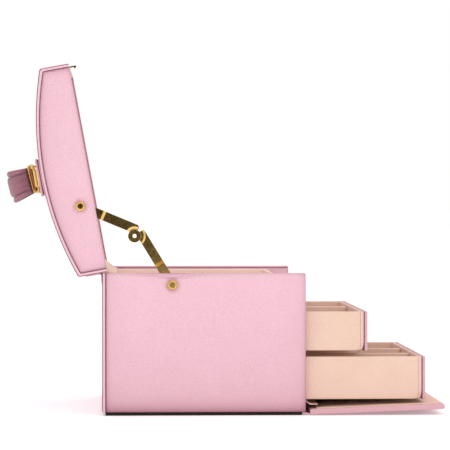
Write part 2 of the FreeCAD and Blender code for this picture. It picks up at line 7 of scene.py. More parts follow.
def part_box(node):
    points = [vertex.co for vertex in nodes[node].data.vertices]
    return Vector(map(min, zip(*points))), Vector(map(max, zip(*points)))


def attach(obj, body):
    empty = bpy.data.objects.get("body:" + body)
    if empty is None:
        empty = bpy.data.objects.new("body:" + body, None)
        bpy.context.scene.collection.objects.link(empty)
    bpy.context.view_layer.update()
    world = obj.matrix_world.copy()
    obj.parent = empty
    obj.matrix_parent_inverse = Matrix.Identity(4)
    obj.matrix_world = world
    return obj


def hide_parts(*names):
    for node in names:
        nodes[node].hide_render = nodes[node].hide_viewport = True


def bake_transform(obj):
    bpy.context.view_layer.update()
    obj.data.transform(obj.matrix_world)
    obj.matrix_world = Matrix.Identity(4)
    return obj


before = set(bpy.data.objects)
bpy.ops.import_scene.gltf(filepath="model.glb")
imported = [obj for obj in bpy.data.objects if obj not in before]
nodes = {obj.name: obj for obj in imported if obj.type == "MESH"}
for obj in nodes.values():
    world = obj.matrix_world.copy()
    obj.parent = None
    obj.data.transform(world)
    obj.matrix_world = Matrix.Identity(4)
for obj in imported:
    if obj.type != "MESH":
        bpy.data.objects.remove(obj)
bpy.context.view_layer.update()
MM = 0.001

# ---- the chest's own dimensions, in millimetres ----
HALF_W = 125.0  # the lid's skin, the back and the flap
SIDE_OUT, SIDE_IN = 124.0, 118.0  # outer and inner face of a side panel and of a cheek
SIDE_MID = (SIDE_OUT + SIDE_IN) / 2
FRONT, REAR = -90.0, 90.0
BACK_IN = 87.4  # inner face of the back panel
FOOT, BODY_TOP = 3.0, 126.0
SKIN_T = 2.6
RIM = 127.0  # the lid's lower edge, shut
LID_FRONT = -96.2
END_H, CROWN_H = 26.0, 41.5  # the lid's height at its ends and at its crown
LID_PIVOT = (88.0, 129.0)
LID_OPEN = 100.5
FLAP_PIVOT = (-92.3, 4.0)
FLAP_SWING = 87.7
FLAP_OUT, FLAP_FACE = -96.2, -91.0
FLAP_Z0, FLAP_Z1 = 5.5, 125.3
FLAP_INSET = 2.6  # from the flap's edge to its suede pad
STAY_LID = (29.0, 139.7)  # the stay's rivet in the shut lid
STAY_LID_OPEN = (109.2727, 185.0621)  # the same rivet with the lid open
STAY_BODY = (28.1, 115.5)
ELBOW = (61.4349, 158.7428)
LINK_LENGTH, ELBOW_OFFSET = 54.6, 6.0
TAB_X, TAB_Y = 10.0, 17.3  # half the size of a handle tab
TAB_AT = 55.0  # from the lid's middle to each tab
SIDES = (("left", -1), ("right", 1))


def turn_about(pivot, degrees):
    """A turn about an X-wise axis through (y, z) in millimetres, as a matrix in metres."""
    at = Vector((0, pivot[0] * MM, pivot[1] * MM))
    turn = Matrix.Rotation(math.radians(degrees), 4, "X")
    return Matrix.Translation(at) @ turn @ Matrix.Translation(-at)


OPEN_LID = turn_about(LID_PIVOT, -LID_OPEN)
OPEN_FLAP = turn_about(FLAP_PIVOT, FLAP_SWING)


# ---- materials ----------------------------
class Nodes:
    """A short way to write a material's node tree."""

    def __init__(self, name):
        self.material = bpy.data.materials.new(name)
        self.material.use_nodes = True
        self.tree = self.material.node_tree
        self.shader = self.tree.nodes["Principled BSDF"]
        self.coords = self.tree.nodes.new("ShaderNodeTexCoord").outputs["Object"]

    def add(self, kind, **values):
        """A node with its settings and inputs; spaces in an input's name are written as _."""
        node = self.tree.nodes.new(kind)
        for key, value in values.items():
            if hasattr(node, key):
                setattr(node, key, value)
            else:
                self.put(node.inputs[key.replace("_", " ")], value)
        return node

    def put(self, socket, value):
        if isinstance(value, bpy.types.NodeSocket):
            self.tree.links.new(value, socket)
        elif isinstance(value, (tuple, list)) and len(value) == 3 and socket.type == "RGBA":
            socket.default_value = (*value, 1)
        else:
            socket.default_value = value

    def noise(self, scale, detail=3.0, roughness=0.5, stretch=None):
        where = self.coords
        if stretch:
            where = self.add("ShaderNodeMapping", Vector=where, Scale=stretch).outputs[0]
        node = self.add("ShaderNodeTexNoise", Vector=where, Scale=scale, Detail=detail, Roughness=roughness)
        return node.outputs["Fac"]

    def cells(self, scale):
        return self.add("ShaderNodeTexVoronoi", Vector=self.coords, Scale=scale).outputs["Distance"]

    def ramp(self, factor, stops):
        node = self.add("ShaderNodeValToRGB", Fac=factor)
        for element, (at, colour) in zip(node.color_ramp.elements, stops):
            element.position = at
            element.color = (*colour, 1)
        return node.outputs["Color"]

    def maths(self, operation, first, second):
        node = self.add("ShaderNodeMath", operation=operation)
        self.put(node.inputs[0], first)
        self.put(node.inputs[1], second)
        return node.outputs[0]

    def sums(self, *weighted):
        """The sum of several values, each times its weight."""
        total = None
        for weight, socket in weighted:
            scaled = self.maths("MULTIPLY", socket, weight)
            total = scaled if total is None else self.maths("ADD", total, scaled)
        return total

    def between(self, value, low, high):
        """A value of 0 to 1 spread from low to high."""
        return self.add("ShaderNodeMapRange", Value=value, To_Min=low, To_Max=high).outputs[0]

    def bump(self, height, distance, strength=1.0):
        node = self.add("ShaderNodeBump", Height=height, Distance=distance, Strength=strength)
        self.put(self.shader.inputs["Normal"], node.outputs["Normal"])

    def finish(self, **values):
        for key, value in values.items():
            self.put(self.shader.inputs[key.replace("_", " ")], value)
        return self.material


def linear(r, g, b):
    """A screen colour, 0 to 255, as linear light."""
    def one(c):
        c /= 255
        return c / 12.92 if c <= 0.04045 else ((c + 0.055) / 1.055) ** 2.4
    return one(r), one(g), one(b)


def mix_painted_shade(m, colour, edge):
    """Painted shade: the colour turning to the darker edge colour where the mesh's own shade value says so.
    """
    shade = m.add("ShaderNodeAttribute", attribute_name="shade").outputs["Fac"]
    mix = m.add("ShaderNodeMixRGB", Fac=shade, Color1=colour, Color2=edge)
    return mix.outputs["Color"]


def leather(name, low, high, edge, roughness=0.46, grain=0.00012, coat=0.10):
    """Grained leatherette: a fine mottle of two tones, pores and creases grain metres deep; edge is the
    darker colour of painted shade.
    """
    m = Nodes(name)
    fine = m.noise(760, 4, 0.6)
    slow = m.noise(46, 3, 0.5)
    colour = m.ramp(m.sums((0.86, fine), (0.14, slow)), [(0.34, low), (0.66, high)])
    pores = m.cells(1150)
    creases = m.noise(420, 5, 0.62)
    m.bump(m.sums((0.6, pores), (0.8, creases), (0.35, fine)), grain, 0.7)
    shine = m.between(fine, roughness - 0.06, roughness + 0.08)
    return m.finish(Base_Color=mix_painted_shade(m, colour, edge), Roughness=shine, Coat_Weight=coat,
                    Coat_Roughness=0.4, Sheen_Weight=0.06, Sheen_Roughness=0.5,
                    Sheen_Tint=(1.0, 0.86, 0.90), Specular_IOR_Level=0.4)


def suede(name, low, high, edge, roughness=0.92):
    """A matt nap of two tones; edge is the darker colour of painted shade."""
    m = Nodes(name)
    slow = m.noise(40, 3, 0.5)
    nap = m.noise(1100, 3, 0.7)
    colour = m.ramp(m.sums((0.2, slow), (0.8, nap)), [(0.34, low), (0.66, high)])
    m.bump(m.sums((1.0, nap), (0.5, m.noise(320, 3))), 0.00012, 0.6)
    return m.finish(Base_Color=mix_painted_shade(m, colour, edge), Roughness=roughness, Sheen_Weight=0.12,
                    Sheen_Roughness=0.4, Sheen_Tint=(1.0, 0.92, 0.86), Specular_IOR_Level=0.15)


def metal(name, low, high, roughness=0.16):
    """Polished plating with a slow cloud of two tones and faint brushed scuffs."""
    m = Nodes(name)
    colour = m.ramp(m.noise(90, 3), [(0.35, low), (0.65, high)])
    scuff = m.noise(420, 3, 0.5, (1.0, 0.3, 1.0))
    shine = m.between(scuff, roughness - 0.03, roughness + 0.04)
    m.bump(scuff, 0.000006, 0.08)
    return m.finish(Base_Color=colour, Roughness=shine, Metallic=1.0)


def plain(name, colour, roughness):
    """Paper for the studio."""
    m = Nodes(name)
    tone = m.ramp(m.noise(3, 2), [(0.4, colour), (0.6, tuple(c * 0.99 for c in colour))])
    return m.finish(Base_Color=tone, Roughness=roughness, Specular_IOR_Level=0.1)


# Darker colours of painted shade; the third colour given to each leather and suede below is its painted shade
# too.
PAINTED_SHADE_MAROON, PAINTED_SHADE_ROSE = linear(84, 42, 54), linear(150, 98, 110)
PINK = leather("pearl_pink_leather", linear(224, 178, 191), linear(238, 195, 207), linear(166, 108, 123))
ROSE = leather("rose_edge_leather", linear(206, 156, 166), linear(220, 172, 181), PAINTED_SHADE_ROSE)
MAUVE = leather("mauve_handle_leather", linear(134, 72, 89), linear(150, 88, 104), PAINTED_SHADE_MAROON,
                roughness=0.52, grain=0.00014, coat=0.04)
# A darker copy of the mauve leather: painted shade for the strap's underside and the recess between a tab's
# layers.
MAROON = leather("handle_underside_shaded", linear(78, 38, 50), linear(96, 52, 64), linear(50, 24, 32), 0.55)
CREAM = suede("cream_suede", linear(221, 187, 169), linear(235, 203, 186), linear(190, 148, 130))
PALE = suede("pale_tray_suede", linear(236, 208, 196), linear(246, 222, 210), linear(196, 156, 142))
RIBBON = suede("pink_ribbon", linear(196, 132, 148), linear(214, 152, 166), PAINTED_SHADE_ROSE, 0.6)
FELT = suede("black_felt", linear(34, 28, 27), linear(58, 48, 46), linear(20, 16, 16), 0.95)
GOLD = metal("polished_gold", linear(214, 172, 98), linear(230, 194, 120), 0.11)
# A dark leather of painted shadow, laid as thin strips and cords in grooves, gaps and along edges where shade
# falls.
GROOVE_SHADE = leather("groove_shadow_leather", linear(112, 62, 77), linear(136, 84, 99), PAINTED_SHADE_MAROON, 0.6)
THREAD = suede("stitch_thread", linear(186, 130, 144), linear(208, 152, 164), PAINTED_SHADE_ROSE, 0.7)
MIRROR = metal("mirror_silver", linear(226, 230, 232), linear(232, 236, 238), 0.06)


# ---- curves -------------------------------
def bell(distance, width):
    """1 in the middle, falling away on both sides."""
    return math.exp(-(distance / width) ** 2)


def fade(distance, length):
    """1 at an edge, falling away from it; nothing is added beyond the edge."""
    return math.exp(-max(distance, 0) / length)


def span(lo, hi, count):
    """Even steps from lo to hi."""
    return [lo + (hi - lo) * n / count for n in range(count + 1)]


def circle(around):
    """Cosine and sine at even steps round a circle."""
    return [(math.cos(a), math.sin(a)) for a in span(0, 2 * math.pi, around)[:-1]]


def ease(radius):
    """Five distances into a rounded edge, close together at its outside."""
    return [radius * (1 - math.cos(n * math.pi / 8)) for n in range(5)]


def edge_dip(distance, radius):
    """How far a rounded surface has sunk at this distance from its edge."""
    if distance >= radius:
        return 0.0
    return radius - math.sqrt(max(0.0, radius ** 2 - (radius - distance) ** 2))


def stations(lo, hi, radius, spacing):
    """Coordinates across a rounded side: close together round each edge, even in between."""
    count = max(1, int(round((hi - lo - 2 * radius) / spacing)))
    middle = span(lo + radius, hi - radius, count)[1:-1]
    return [lo + e for e in ease(radius)] + middle + [hi - e for e in reversed(ease(radius))]


def arc_radius(half, rise):
    """Radius of an arc that rises this much over this half width."""
    return (half ** 2 + rise ** 2) / (2 * rise)


# ---- mesh tools ---------------------------
def linked(name, data):
    """A new object in the scene."""
    obj = bpy.data.objects.new(name, data)
    bpy.context.scene.collection.objects.link(obj)
    return obj


def piece(name, verts, faces, material, body, stands_for=(), slot=None, place=None, shade=None):
    """A mesh object in millimetres that rides on a body; shade(x, y, z), 0 to 1, paints shade into its
    covering.
    """
    mesh = bpy.data.meshes.new(name)
    mesh.from_pydata([tuple(c * MM for c in v) for v in verts], [], faces)
    if shade:
        values = [min(1.0, max(0.0, shade(*v))) for v in verts]
        mesh.attributes.new("shade", "FLOAT", "POINT").data.foreach_set("value", values)
    if place:
        mesh.transform(place)
    bm = bmesh.new()
    bm.from_mesh(mesh)
    bmesh.ops.remove_doubles(bm, verts=bm.verts, dist=2e-6)
    bmesh.ops.recalc_face_normals(bm, faces=bm.faces)
    bm.to_mesh(mesh)
    bm.free()
    mesh.materials.append(material)
    mesh.polygons.foreach_set("use_smooth", [True] * len(mesh.polygons))
    obj = linked(name, mesh)
    if body:
        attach(obj, body)
    if stands_for:
        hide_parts(stands_for)
    return obj


def smooth_by_angle(mesh, degrees):
    """Marks edges sharper than the angle, so smooth shading stays crisp there."""
    bm = bmesh.new()
    bm.from_mesh(mesh)
    for edge in bm.edges:
        edge.smooth = len(edge.link_faces) == 2 and edge.calc_face_angle(0) < math.radians(degrees)
    bm.to_mesh(mesh)
    bm.free()


def ring_faces(rings, around, first=0, closed=False):
    """Faces between rings of vertices that follow one another: a loop, or a run with capped ends."""
    faces = []
    for n in range(rings if closed else rings - 1):
        here, there = first + n * around, first + (n + 1) % rings * around
        for k in range(around):
            after = (k + 1) % around
            faces.append((here + k, here + after, there + after, there + k))
    if closed:
        return faces
    last = first + (rings - 1) * around
    return faces + [tuple(range(first, first + around)), tuple(reversed(range(last, last + around)))]


def rounded_board(lo, hi, radius, spacing, shape):
    """Vertices and faces of a block with rounded edges; shape(p) may move each point afterwards."""
    radius = min([radius] + [(hi[k] - lo[k]) / 2 - 0.01 for k in range(3)])
    axes = [stations(lo[k], hi[k], radius, spacing) for k in range(3)]
    verts, faces, index = [], [], {}

    def at(*key):
        if key not in index:
            p = [axis[n] for axis, n in zip(axes, key)]
            core = [min(max(p[n], lo[n] + radius), hi[n] - radius) for n in range(3)]
            d = [p[n] - core[n] for n in range(3)]
            size = math.sqrt(sum(c * c for c in d))
            if size > 1e-9:
                p = [core[n] + d[n] / size * radius for n in range(3)]
            index[key] = len(verts)
            verts.append(shape(p) if shape else p)
        return index[key]

    for a, b, c in ((0, 1, 2), (0, 2, 1), (1, 2, 0)):
        for u in range(len(axes[a]) - 1):
            for v in range(len(axes[b]) - 1):
                for end in (0, len(axes[c]) - 1):
                    quad = []
                    for du, dv in ((0, 0), (1, 0), (1, 1), (0, 1)):
                        key = [end, end, end]
                        key[a], key[b] = u + du, v + dv
                        quad.append(at(*key))
                    faces.append(tuple(quad))
    return verts, faces


def swept_band(path, half_w, thickness, radius=0.6, profile=None, across=8, xs=None):
    """A soft band that follows a (y, z) path and runs across the chest, thickness on its left side.
    profile(u, s) adds height on the top side, u across from -1 to 1 and s along from 0 to 1."""
    lengths = [0.0]
    for a, b in zip(path, path[1:]):
        lengths.append(lengths[-1] + math.dist(a, b))
    radius = min(radius, thickness / 2 - 0.01)
    xs = xs or stations(-half_w, half_w, radius, 2 * half_w / across)
    verts = []
    for n, (y, z) in enumerate(path):
        a, b = path[max(n - 1, 0)], path[min(n + 1, len(path) - 1)]
        size = math.dist(a, b) or 1.0
        ny, nz = -(b[1] - a[1]) / size, (b[0] - a[0]) / size
        s = lengths[n] / lengths[-1]
        for top in (True, False):
            for x in (xs if top else reversed(xs)):
                dip = edge_dip(half_w - abs(x), radius)
                h = thickness - dip if top else dip
                if top and profile:
                    h += profile(x / half_w, s)
                verts.append((x, y + ny * h, z + nz * h))
    return verts, ring_faces(len(path), 2 * len(xs))


def tube(points, radius):
    """A round cord through points in millimetres."""
    verts = []
    pts = [Vector(p) for p in points]
    for n, p in enumerate(pts):
        d = (pts[min(n + 1, len(pts) - 1)] - pts[max(n - 1, 0)]).normalized()
        side = d.cross(Vector((1, 0, 0)))
        if side.length < 1e-3:
            side = d.cross(Vector((0, 1, 0)))
        side.normalize()
        other = d.cross(side)
        verts += [tuple(p + (side * c + other * s) * radius) for c, s in circle(8)]
    return verts, ring_faces(len(pts), 8)


def cord(name, points, radius, material, body, slot="pink_leather", place=None):
    verts, faces = tube(points, radius)
    piece(name, verts, faces, material, body, slot=slot, place=place)


def board(name, lo, hi, material, body, node=(), slot="pink_leather", radius=1.1, spacing=14.0, shape=None,
          place=None, shade=None):
    verts, faces = rounded_board(lo, hi, radius, spacing, shape)
    return piece(name, verts, faces, material, body, node, slot, place, shade)


def node_box(node):
    """A CAD piece's lower and upper corner in millimetres."""
    return [[c / MM for c in corner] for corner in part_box(node)]


def covered(node, material, body, slot, radius=1.1, spacing=14.0, shape=None):
    """A box-shaped CAD board in its covering, with soft edges."""
    lo, hi = node_box(node)
    board(node + "_covered", lo, hi, material, body, node, slot, radius, spacing, shape)


BEVEL_OVER, CREASE_OVER = 30, 40  # degrees
FLAT_OVER = 1.6  # square millimetres


def bevelled(node, radius, body, material=GOLD):
    """A CAD piece's shape with rounded edges, eased as if by wear; its large faces stay flat."""
    mesh = nodes[node].data.copy()
    mesh.materials.clear()
    mesh.materials.append(material)
    obj = linked(node + "_finished", mesh)
    bm = bmesh.new()
    bm.from_mesh(mesh)
    bmesh.ops.remove_doubles(bm, verts=bm.verts, dist=1e-6)
    bmesh.ops.dissolve_limit(bm, angle_limit=math.radians(2), verts=bm.verts, edges=bm.edges)
    bm.to_mesh(mesh)
    bm.free()
    bevel = obj.modifiers.new("edge", "BEVEL")
    bevel.width = radius * MM
    bevel.segments = 3
    bevel.limit_method = "ANGLE"
    bevel.angle_limit = math.radians(BEVEL_OVER)
    bpy.context.view_layer.update()
    final = bpy.data.meshes.new_from_object(obj.evaluated_get(bpy.context.evaluated_depsgraph_get()))
    obj.modifiers.clear()
    obj.data = final
    smooth_by_angle(final, CREASE_OVER)
    final.polygons.foreach_set("use_smooth", [p.area < FLAT_OVER * MM * MM for p in final.polygons])
    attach(obj, body)
    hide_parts(node)


STITCH_GAP = 1.0


def stitches(name, points, normals, body, length, radius, place, slot):
    """Short raised stitches along a polyline in millimetres; normals point out of the surface."""
    verts, faces = [], []
    carried = STITCH_GAP / 2
    for a, b, n in zip(points, points[1:], normals):
        a, b, n = Vector(a), Vector(b), Vector(n).normalized()
        run = (b - a).length
        d = (b - a) / run
        side = d.cross(n)
        while carried + length <= run:
            start = a + d * carried
            faces += ring_faces(4, 6, len(verts))
            for t, r in ((0.0, 0.35), (0.2, 1.0), (0.8, 1.0), (1.0, 0.35)):
                for c, s in circle(6):
                    verts.append(tuple(start + d * (length * t) + (side * c + n * (0.3 + s)) * radius * r))
            carried += length + STITCH_GAP
        carried -= run
    piece(name, verts, faces, THREAD, body, slot=slot, place=place)


# ---- body ---------------------------------
# In the shapes and painted shades below, the number before a bell or fade is its height in millimetres
# or its share of the darker colour of painted shade.
def outer_side(x):
    """0 from the middle of a side wall's thickness inwards, 1 at its outer face."""
    return max(0.0, (abs(x) - SIDE_MID) / (SIDE_OUT - SIDE_MID))


def dimple(y, z, at, radius):
    """0 to 1, a soft dimple round a (y, z) point."""
    d = math.hypot(y - at[0], z - at[1]) / radius
    return math.exp(-d * d * 2.2)


def washer_shade(y, z, at):
    """Painted shade: the darker ring round a washer, where it presses into the leather."""
    return 0.30 * bell(math.hypot(y - at[0], z - at[1]) - 5.4, 1.3)


def crease(y, z, seed, size=34.0):
    """Slow unevenness of a skin over padding, -1 to 1."""
    return noise.noise(Vector((y / size, z / size, seed)))


def side_panel(side, sign, rivet=None):
    """A padded side, dimpled and creased round the stay's rivet where it has one."""
    xs = sorted((sign * SIDE_OUT, sign * SIDE_IN))
    lo, hi = (xs[0], FRONT, FOOT), (xs[1], BACK_IN, BODY_TOP)

    def shape(p):
        x, y, z = p
        outside = outer_side(x)
        edge = min(y - lo[1], hi[1] - y, z - lo[2], hi[2] - z)
        swell = -0.55 * fade(edge, 9.0)
        if rivet:
            off = y - rivet[0]
            z -= 1.3 * max(0.0, 1 - (hi[2] - z) / 26.0) * bell(off, 19.0) * outside
            fold = bell(z - 121.5 + 0.0022 * off ** 2, 1.7) * bell(off, 26.0)
            swell -= 1.5 * dimple(y, p[2], rivet, 13.0) + 0.5 * fold
        x += sign * outside * (swell + 0.16 * crease(y, z, 3.0))
        return [x, y, z]

    # Painted shade: darker towards the bottom, the ends and the top edge, and near the rivet in a band under
    # the top edge, a ring round the washer and a line along the fold.
    def shade(x, y, z):
        up, down, end = z - lo[2], hi[2] - z, min(y - lo[1], hi[1] - y)
        value = 0.75 * fade(up, 5.0) + 0.14 * fade(up, 22.0) + 0.13 * down / (BODY_TOP - FOOT)
        value += 0.45 * fade(end, 1.6) + 0.12 * fade(end, 8.0) + 0.5 * fade(down, 1.0)
        if rivet:
            off = y - rivet[0]
            value += 0.42 * bell(off, 20.0) * fade(down, 2.6) + washer_shade(y, z, rivet)
            fold_z = hi[2] - 1.6 - 2.6 * bell(off, 18.0)
            value += 0.34 * bell(z - fold_z, 0.8) * math.exp(-(off / 18.0) ** 2 / 3.2)
        return value

    # A dark cord of painted shadow along the inner face just below the top edge.
    fold = [(sign * (SIDE_IN + 0.1), y, BODY_TOP - 1.9 + 0.15 * crease(n * 9.0, 0, 7.0))
            for n, y in enumerate(span(FRONT + 1.5, FRONT + 176.0, 40))]
    cord(f"side_panel_{side}_fold", fold, 0.42, GROOVE_SHADE, "chest")
    board(f"side_panel_{side}_skin", lo, hi, PINK, "chest", f"side_panel_{side}", radius=1.8,
          spacing=1.5 if rivet else 3.0, shape=shape, shade=shade)


def back_shape(p):
    x, y, z = p
    return [x, y + (0.3 * crease(x, z, 9.0) if y > REAR - 1 else 0), z]


side_panel("left", -1, STAY_BODY)
side_panel("right", 1)
board("back_panel_skin", (-HALF_W, BACK_IN, FOOT), (HALF_W, REAR, BODY_TOP), PINK, "chest", "back_panel",
      spacing=8.0, shape=back_shape)

# painted shadow: dark strips in the grooves where the back's skin meets the side panels, and dark cords along
# the back's outer edges
for side, sign in SIDES:
    xs = sorted((sign * (SIDE_OUT + 0.3), sign * (SIDE_OUT - 1.4)))
    board(f"rear_seam_shadow_{side}", (xs[0], BACK_IN - 0.8, FOOT + 0.4), (xs[1], BACK_IN + 0.2, BODY_TOP - 0.4),
          GROOVE_SHADE, "chest", radius=0.3, spacing=20)
    edge_shadow = [(sign * (HALF_W - 0.25), REAR - 0.25, z) for z in span(FOOT + 1.0, BODY_TOP - 1.0, 24)]
    cord(f"rear_piping_{side}", edge_shadow, 0.34, GROOVE_SHADE, "chest")


def nap(p):
    """Slight unevenness of suede over board."""
    return [p[0], p[1], p[2] + 0.12 * noise.noise(Vector(p) / 21)]


for node in ("bottom_board", "lower_bay_floor", "drawer_shelf", "tray_shelf", "bay_back_lining"):
    covered(node, CREAM, "chest", "suede", 0.7, 20.0)
covered("top_front_wall", PINK, "chest", "pink_leather", 1.3, 16.0)
bevelled("base_pad", 0.8, "chest", FELT)

# thin linings on the inner faces of the walls, suede in the bays and leather beside the tray
for side, sign in SIDES:
    xs = sorted((sign * (SIDE_IN - 0.05), sign * (SIDE_IN - 0.65)))
    for part, z0, z1 in (("lower", 12.6, 52.5), ("upper", 55.7, 92.4), ("top", 95.6, 123.4)):
        stuff, slot = (PINK, "pink_leather") if part == "top" else (CREAM, "suede")
        board(f"bay_lining_{part}_{side}", (xs[0], FRONT + 1.6, z0), (xs[1], BACK_IN - 1.8, z1), stuff,
              "chest", slot=slot, radius=0.25, spacing=30.0)


# ---- suede boxes --------------------------
BOX_WALL = 3.0


def suede_box(name, node, body, floor, material=CREAM, front_radius=0.0):
    """An open box of suede-covered boards with rounded top edges."""
    lo, hi = node_box(node)
    (x0, y0, z0), (x1, y1, z1) = lo, hi
    in_x0, in_x1, low_z1 = x0 + 0.05, x1 - 0.05, z1 - 0.15

    def soft(p):
        x, y, z = p
        if front_radius and y < y0 + front_radius and z < z0 + front_radius:
            cy, cz = y0 + front_radius, z0 + front_radius
            d = math.hypot(y - cy, z - cz)
            if d > front_radius:
                y, z = cy + (y - cy) * front_radius / d, cz + (z - cz) * front_radius / d
        wobble = abs(0.16 * noise.noise(Vector((x / 17, y / 23, z / 17))))
        if x < x0 + 1:
            x += wobble
        elif x > x1 - 1:
            x -= wobble
        return [x, y, z]

    boards = ((lo, (x0 + BOX_WALL, y1, z1), 1.3, 6.0), ((x1 - BOX_WALL, y0, z0), hi, 1.3, 6.0),
              ((in_x0, y0, z0), (in_x1, y0 + BOX_WALL, low_z1), 1.3, 6.0),
              ((in_x0, y1 - BOX_WALL, z0), (in_x1, y1, low_z1), 1.3, 6.0),
              ((x0 + 1, y0 + 1, z0), (x1 - 1, y1 - 1, z0 + floor), 0.8, 9.0))
    verts, faces = [], []
    for part in boards:
        more, joined = rounded_board(*part, soft)
        faces += [tuple(n + len(verts) for n in face) for face in joined]
        verts += more
    piece(name, verts, faces, material, body, node, "suede")


def pull(body):
    """A folded ribbon that hangs from a slit in the drawer's front."""
    lo, hi = node_box(body + "_pull")
    path = []
    for a in span(0.0, math.pi, 24):
        y = hi[1] - (hi[1] - lo[1]) * 0.92 * max(0.0, math.sin(a)) ** 0.7
        path.append((y, hi[2] - 0.4 - (hi[2] - lo[2] - 0.9) * (1 - math.cos(a)) / 2))
    verts, faces = swept_band(path, 7.6, 0.7, 0.3, across=10)
    piece(body + "_ribbon", verts, faces, RIBBON, body, body + "_pull", "ribbon")


suede_box("upper_drawer_suede", "upper_drawer_box", "upper_drawer", 3.0, front_radius=6.0)
suede_box("lower_drawer_suede", "lower_drawer_box", "lower_drawer", 3.0, front_radius=6.0)
suede_box("tray_suede", "tray_box", "chest", 2.0, PALE)
lo, hi = node_box("tray_box")
for side, x in (("left", lo[0] + 0.2), ("right", hi[0] - 0.2)):
    cord(f"tray_rim_cord_{side}", [(x, y, hi[2] - 0.6) for y in span(lo[1] + 1.0, hi[1] - 1.0, 30)], 0.4,
         RIBBON, "chest", "ribbon")
for node in ("tray_divider_long", "tray_divider_cross", "tray_divider_left"):
    covered(node, CREAM, "chest", "suede", 1.3, 12.0, nap)
for body, dividers in (("upper_drawer", 1), ("lower_drawer", 2)):
    for n in range(1, dividers + 1):
        covered(f"{body}_divider_{n}", CREAM, body, "suede", 1.3, 12.0, nap)

# drawer fronts: leather over board, drawn in at the edges, with a dark strip of painted shadow in the gap
# behind
for body in ("upper_drawer", "lower_drawer"):
    lo, hi = node_box(body + "_front")

    def front_shape(p, lo=lo, hi=hi):
        x, y, z = p
        if y < lo[1] + 1.5:
            y += 0.35 * fade(min(x - lo[0], hi[0] - x, z - lo[2], hi[2] - z), 5.0)
        return [x, y, z]

    covered(body + "_front", ROSE, body, "pink_leather", 1.4, 5.0, front_shape)
    board(body + "_front_gap_shadow", (lo[0] + 0.25, hi[1] - 0.3, lo[2] + 0.3),
          (hi[0] - 0.25, hi[1] + 0.55, hi[2] - 0.5), GROOVE_SHADE, body, radius=0.2, spacing=40.0)
    lo, hi = node_box(body + "_box")
    for side, x in (("left", lo[0] + 0.05), ("right", hi[0] - 0.05)):
        seam = [(x, lo[1] + 3.4, z) for z in span(lo[2] + 2.5, hi[2] - 1.0, 12)]
        cord(f"{body}_suede_seam_{side}", seam, 0.22, RIBBON, body, "suede")

pull("upper_drawer")
pull("lower_drawer")


# ---- ring rolls ---------------------------
def ring_rolls():
    """Foam rolls in suede: round on top, drawn in at the ends, sagging a little between the walls."""
    count, around, along = 6, 22, 40
    lo, hi = node_box("ring_rolls")
    pitch = (hi[1] - lo[1] + 0.6) / count
    half = pitch / 2 - 0.35
    waist = lo[2] + 3.6  # height of a roll's widest line
    verts, faces = [], []
    for n in range(count):
        cy = lo[1] + pitch * (n + 0.5) - 0.3
        faces += ring_faces(along + 1, around, len(verts))
        for x in span(lo[0], hi[0], along):
            end = min(1.0, min(x - lo[0], hi[0] - x) / 3.6)
            loose = 1 + 0.025 * noise.noise(Vector((x / 15, n * 3.1, 0)))
            swell = max(0.08, math.sqrt(max(0.0, 1 - (1 - end) ** 2))) * loose
            for c, s in circle(around):
                y = cy + half * swell * math.copysign(abs(c) ** 0.8, c)
                rise = (hi[2] - waist) * swell * 0.97 if s > 0 else 3.5
                verts.append((x, y, waist + rise * s))
    piece("ring_roll_foam", verts, faces, CREAM, "chest", "ring_rolls", "foam")


ring_rolls()


# ---- lid, drawn shut and swung open -------
MID_Y = (LID_FRONT + REAR) / 2
IN_FRONT, IN_REAR = LID_FRONT + SKIN_T, REAR - SKIN_T
BOARD_Z = RIM + 18.0  # underside of the mirror board


def arch_height(y, inset):
    """Height of the arch above the rim, inset below its outer face."""
    half = (REAR - LID_FRONT) / 2 - inset
    radius = arc_radius(half, CROWN_H - END_H)
    reach = min(abs(y - MID_Y), half)
    return CROWN_H - inset - radius + math.sqrt(radius ** 2 - reach ** 2)


def corner(a, b, c, radius):
    """A soft corner at b between a and c."""
    a, b, c = Vector(a), Vector(b), Vector(c)
    p, q = b + (a - b).normalized() * radius, b + (c - b).normalized() * radius
    return [tuple(p * (1 - t) ** 2 + b * (2 * t * (1 - t)) + q * t ** 2) for t in span(0, 1, 5)]


def eased(path, radius):
    """Extra points near both ends of a path, so that its ends can be rounded."""
    def end(a, b):
        a, b = Vector(a), Vector(b)
        return [tuple(a + (b - a).normalized() * e) for e in ease(radius)]
    return end(path[0], path[1]) + path[1:-1] + end(path[-1], path[-2])[::-1]


def lid_outline(inset):
    """Front rim, up, over the arch and down to the rear rim, inset inside the outer face."""
    y0, y1 = LID_FRONT + inset, REAR - inset
    top = RIM + arch_height(y0, inset)
    arch = [(y, RIM + arch_height(y, inset)) for y in span(y0, y1, 44)[1:-1]]
    rises = [RIM, RIM + 8, RIM + 16]
    return ([(y0, z) for z in rises] + corner((y0, RIM), (y0, top), arch[0], 1.2) + arch
            + corner(arch[-1], (y1, top), (y1, RIM), 1.2) + [(y1, z) for z in reversed(rises)])


